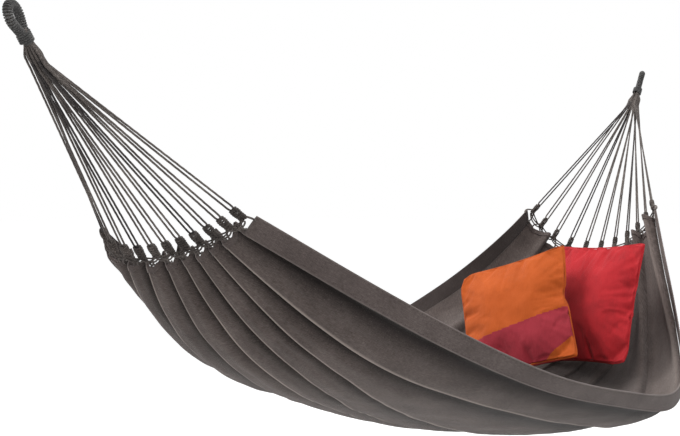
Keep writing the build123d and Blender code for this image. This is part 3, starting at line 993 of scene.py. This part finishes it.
# each dent: its place, radius and move in millimetres
cushions = {
    "orange_cushion": {
        "place": (1930, 34, -748.4), "turn": (0.0, 24.4, 19.0), "seed": 4, "cottons": ("orange", "raspberry"),
        "nodes": ("cover_back", "orange_panel", "raspberry_panel"),
        "dents": [((182, 20, 0), 30, (-13, 0, 0)), ((160, 22, 30), 24, (-3, 0, -11)),
                  ((120, 10, 40), 26, (0, 0, -6)), ((60, -182, 0), 60, (0, 4, 0)),
                  ((-182, 182, 0), 34, (15, -12, 0)), ((60, -60, 50), 40, (0, 0, -5)),
                  ((-60, -120, 40), 36, (0, 0, -6))]},
    "red_cushion": {
        "place": (2056, -156, -715.6), "turn": (-21.6, 16.1, 4.2), "seed": 9, "cottons": ("red",),
        "nodes": ("cover_back", "cover_front"),
        "dents": [((-182, -40, 0), 50, (5, 0, 0)), ((150, -150, 20), 34, (-3, 5, -7)),
                  ((172, 60, 10), 22, (-5, 0, -7)), ((168, -20, 14), 20, (-4, 0, -6)),
                  ((182, -182, 0), 34, (-10, 9, 0))]},
}
cushionHalf = cushionSettings["size"] / 2


def cushionMatrix(place, turn):
    # X to the right of the face, Y up it and Z out of it, towards the foot end
    heading, lean, roll = (math.radians(angle) for angle in turn)
    face = Matrix(((0, 0, -1), (-1, 0, 0), (0, 1, 0)))
    turned = (face @ Matrix.Rotation(heading, 3, "Y") @ Matrix.Rotation(-lean, 3, "X")
              @ Matrix.Rotation(roll, 3, "Z"))
    return Matrix.Translation(Vector(place) * mm) @ turned.to_4x4()


def pillowSide(u, v, side):
    # one side of the crowned form, at shares -1 to 1 of its width and length
    width = cushionHalf - cushionSettings["draw"] * (1 - u ** 2)
    length = cushionHalf - cushionSettings["draw"] * (1 - v ** 2)
    low = cushionSettings["edge"] / 2
    rise = (cushionSettings["crown"] / 2 - low) * cushionSettings["flat"]
    crown = low + rise * (np.cos(u * np.pi / 2) ** cushionSettings["power"]
                          * np.cos(v * np.pi / 2) ** cushionSettings["power"])
    start = cushionSettings["start"]
    return (np.stack([u * length, v * width, side * crown], -1) * (start, start, 1)).reshape(-1, 3)


def coverMesh(name, count=41):
    share = np.sin(np.linspace(-np.pi / 2, np.pi / 2, count))
    u, v = np.meshgrid(share, share, indexing="ij")
    vertices = np.concatenate([pillowSide(u, v, 1), pillowSide(u, v, -1)])
    return addMesh(name, vertices, closedFaces(count, count, turned=True), looks["orange"])


def readPoints(piece):
    return np.array([vertex.co[:] for vertex in piece.data.vertices])


def writePoints(piece, points):
    piece.data.vertices.foreach_set("co", points.astype(np.float32).ravel())
    piece.data.update()


def applyAll(piece):
    # the evaluated shape becomes the mesh, and the modifiers go
    shown = bpy.data.meshes.new_from_object(piece.evaluated_get(bpy.context.evaluated_depsgraph_get()))
    piece.modifiers.clear()
    piece.data = shown


def creases(shape, seed):
    # heights of the soft folds in a face and of the creases that run in from its seams and corners
    random = np.random.default_rng(seed)
    x, y = shape[:, 0] / cushionHalf, shape[:, 1] / cushionHalf
    edgeward = np.maximum(np.abs(x), np.abs(y))
    rim = np.clip((edgeward - 0.42) / 0.5, 0, 1) * np.clip((1.02 - edgeward) / 0.12, 0, 1)
    around = np.arctan2(y, x)
    pucker = sum(np.sin(around * frequency + random.uniform(0, 6.28)) * weight
                 for frequency, weight in ((19, 0.5), (31, 0.4), (47, 0.35), (12, 0.5)))
    soft = np.sin(x * 3.1 + y * 1.7 + seed) * np.sin(y * 3.7 - x * 1.3 + seed * 2)
    folds = 0
    for way, pace, weight in ((0.6 + seed, 5.2, 1.0), (2.1 + seed, 7.7, 0.7), (1.2 + seed, 11.0, 0.5)):
        folds = folds + np.sin((x * math.cos(way) + y * math.sin(way)) * pace + way * 5) ** 3 * weight
    return pucker * 2.2 * mm * rim + (soft * 2.6 + folds * 1.5) * mm * (1 - 0.6 * rim)


def fillCover(piece, seed):
    # the flat cover is remeshed evenly and blown up, with pinned seams so that wrinkles run in from the edge
    remesh = piece.modifiers.new("remesh", "REMESH")
    remesh.mode = "VOXEL"
    remesh.voxel_size = cushionSettings["voxel"]
    applyAll(piece)
    before = readPoints(piece)
    edgeward = np.maximum(np.abs(before[:, 0]), np.abs(before[:, 1])) / cushionHalf
    group = piece.vertex_groups.new(name="seam")
    held = np.clip((edgeward - cushionSettings["pinStart"]) / cushionSettings["pinWidth"], 0, 1)
    for k, share in enumerate(held * cushionSettings["pin"]):
        group.add([k], float(share), "REPLACE")
    cloth = piece.modifiers.new("filling", "CLOTH")
    for key, value in fillSettings.items():
        setattr(cloth.settings, key, value)
    cloth.settings.effector_weights.gravity = 0
    cloth.collision_settings.use_collision = False
    cloth.point_cache.frame_start, cloth.point_cache.frame_end = 1, cushionSettings["frames"]
    for frameNumber in range(1, cushionSettings["frames"] + 1):
        scene.frame_set(frameNumber)
    applyAll(piece)
    scene.frame_set(1)
    move = readPoints(piece) - before
    far = np.linalg.norm(move, axis=1, keepdims=True)
    shape = before + move * np.minimum(1, cushionSettings["reach"] / np.maximum(far, 1e-9))
    # the crown is brought to the stated thickness, and the sides to the stated size
    size = shape.max(0) - shape.min(0)
    shape = shape - (shape.max(0) + shape.min(0)) / 2
    shape[:, 2] *= cushionSettings["crown"] / size[2]
    shape[:, :2] *= cushionSettings["size"] / size[:2]
    shape[:, 2] += np.sign(shape[:, 2]) * creases(shape, seed)
    writePoints(piece, shape)
    subdivision = piece.modifiers.new("smooth", "SUBSURF")
    subdivision.levels = subdivision.render_levels = 1
    applyAll(piece)


def dent(piece, dents):
    # hollows pressed into the cushion, in its own frame
    points = readPoints(piece)
    for place, radius, move in dents:
        away = np.linalg.norm(points - np.array(place) * mm, axis=1)
        points += np.exp(-(away / (radius * mm)) ** 2)[:, None] * np.array(move) * mm
    writePoints(piece, points)


def edgeLine(count=420):
    # the closed seam round a cushion in its own frame
    share = np.linspace(-1, 1, count // 4, endpoint=False)
    inward = cushionSettings["draw"] * (1 - share ** 2)
    bow = (cushionHalf - inward) * (1 - 0.035 * np.abs(share) ** 14)      # corners slightly rounded
    run = share * cushionHalf
    sides = ((run, -bow), (bow, run), (-run, bow), (-bow, -run))
    line = np.concatenate([np.stack(side, 1) for side in sides])
    line = np.concatenate([line, np.zeros((len(line), 1))], 1)
    for _ in range(6):
        line = (np.roll(line, 1, 0) + 2 * line + np.roll(line, -1, 0)) / 4
    return np.concatenate([line, line[:1]])


def overlock(line, width, pitch):
    # the stitched edge: a cord with a raised thread at every pitch
    points = resample(line, int(lineLength(line) / 0.0022))
    beat = 0.5 + 0.5 * np.cos(2 * np.pi * lengthsAlong(points) / pitch)
    return tubeShell(points, (width / 2 * (0.78 + 0.34 * beat))[:, None], 10)


def zipTape(name, count=60):
    # a tape with raised teeth along the bottom seam
    x = np.linspace(-1, 1, count) * cushionSettings["zipLength"] / 2
    y = -(cushionHalf - cushionSettings["draw"] * (1 - (x / cushionHalf) ** 2)) - 1.2 * mm
    vertices = [(x[k], y[k] + dy * mm, dz * mm) for k in range(count)
                for dy, dz in ((0.9, -4), (-1.3, -3), (-1.8 - 0.6 * (k % 2), 0), (-1.3, 3), (0.9, 4))]
    return addMesh(f"{name}_zip_tape", vertices, gridFaces(count, 5), zipLook)


def seamLine(x):
    # the seam between the two colours rises to the right, and is cut hollow so that it looks straight
    return cushionSettings["colourSeam"] + 0.13 * x - 13 * mm * (1 - (2 * x / cushionSettings["size"]) ** 2)


def cushion(name, settings):
    cover = coverMesh(f"{name}_cover")
    fillCover(cover, settings["seed"])
    dent(cover, settings["dents"])
    cover.data.materials.clear()
    for cotton in settings["cottons"]:
        cover.data.materials.append(looks[cotton])
    for face in cover.data.polygons:
        face.use_smooth = True
        if name == "orange_cushion":
            x, y, z = face.center
            inPanel = z > 0.5 * mm and y < seamLine(x)
            corner = y < -111 * mm + 0.59 * (x - 182 * mm)
            face.material_index = 1 if inPanel and not corner else 0
    trim = addMesh(f"{name}_overlocked_edge",
                   *overlock(edgeLine(), cushionSettings["piping"], cushionSettings["stitch"]),
                   looks[settings["cottons"][0]])
    dent(trim, settings["dents"])
    zipPiece = zipTape(name)
    for piece in (cover, trim, zipPiece):
        piece.data.transform(cushionMatrix(settings["place"], settings["turn"]))
        piece.data.update()
        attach(piece, name)
    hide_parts(*[f"{name}_{node}" for node in settings["nodes"]], f"{name}_filling")
    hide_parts(f"{name}_zip")


for name, settings in cushions.items():
    cushion(name, settings)
print("cushions filled")


# Stage: a pale floor, a white backdrop for the camera and soft studio light

stageSettings = {"floor": -1.75, "size": 60.0, "lift": 0.5, "ambient": 0.62}


def floorLook():
    # matt white, lifted for the camera alone so that it meets the backdrop and keeps the shadow
    look = Look("paleFloor")
    seen = look.add("ShaderNodeLightPath").outputs["Is Camera Ray"]
    return look.surface({"Base Color": "f6f6f5", "Roughness": 0.9, "Specular IOR Level": 0.0,
                         "Emission Color": "ffffff",
                         "Emission Strength": look.math("MULTIPLY", seen, stageSettings["lift"])})


def stage():
    half, low = stageSettings["size"] / 2, stageSettings["floor"]
    corners = [(-half, -half, low), (half, -half, low), (half, half, low), (-half, half, low)]
    addMesh("floor", corners, [(0, 1, 2, 3)], floorLook(), smooth=False)
    world = bpy.data.worlds.new("studio")
    scene.world = world
    world.use_nodes = True
    world.node_tree.nodes.clear()
    tree = Tree(world.node_tree)
    rays = tree.add("ShaderNodeLightPath").outputs
    bounced = tree.math("MAXIMUM", rays["Is Glossy Ray"], rays["Is Transmission Ray"])
    seen = tree.math("MAXIMUM", rays["Is Camera Ray"], bounced)
    soft, white = (tree.add("ShaderNodeBackground", None, Color=colour, Strength=strength).outputs[0]
                   for colour, strength in (("f3f4f6", stageSettings["ambient"]), ("ffffff", 1.0)))
    mixed = tree.add("ShaderNodeMixShader", None, n0=seen, n1=soft, n2=white).outputs[0]
    tree.add("ShaderNodeOutputWorld", None, Surface=mixed)


def light(name, place, target, size, power):
    data = bpy.data.lights.new(name, "AREA")
    data.shape, data.size, data.size_y = "RECTANGLE", size[0], size[1]
    data.energy = power
    lamp = bpy.data.objects.new(name, data)
    lamp.location = place
    lamp.rotation_euler = (Vector(target) - Vector(place)).to_track_quat("-Z", "Y").to_euler()
    scene.collection.objects.link(lamp)


stage()
light("topSoft", (1.3, -0.6, 2.2), (1.4, 0, -0.8), (3.0, 2.4), 70)
light("frontFill", (-1.6, -3.6, 1.2), (1.3, 0, -0.7), (2.4, 2.0), 46)
light("headSide", (4.6, -1.6, 0.9), (1.9, 0, -0.7), (1.8, 1.8), 26)
light("backSoft", (0.6, 2.6, 1.3), (2.1, -0.3, -0.7), (2.2, 1.8), 118)
scene.view_settings.view_transform = "Standard"
print("stage lit")
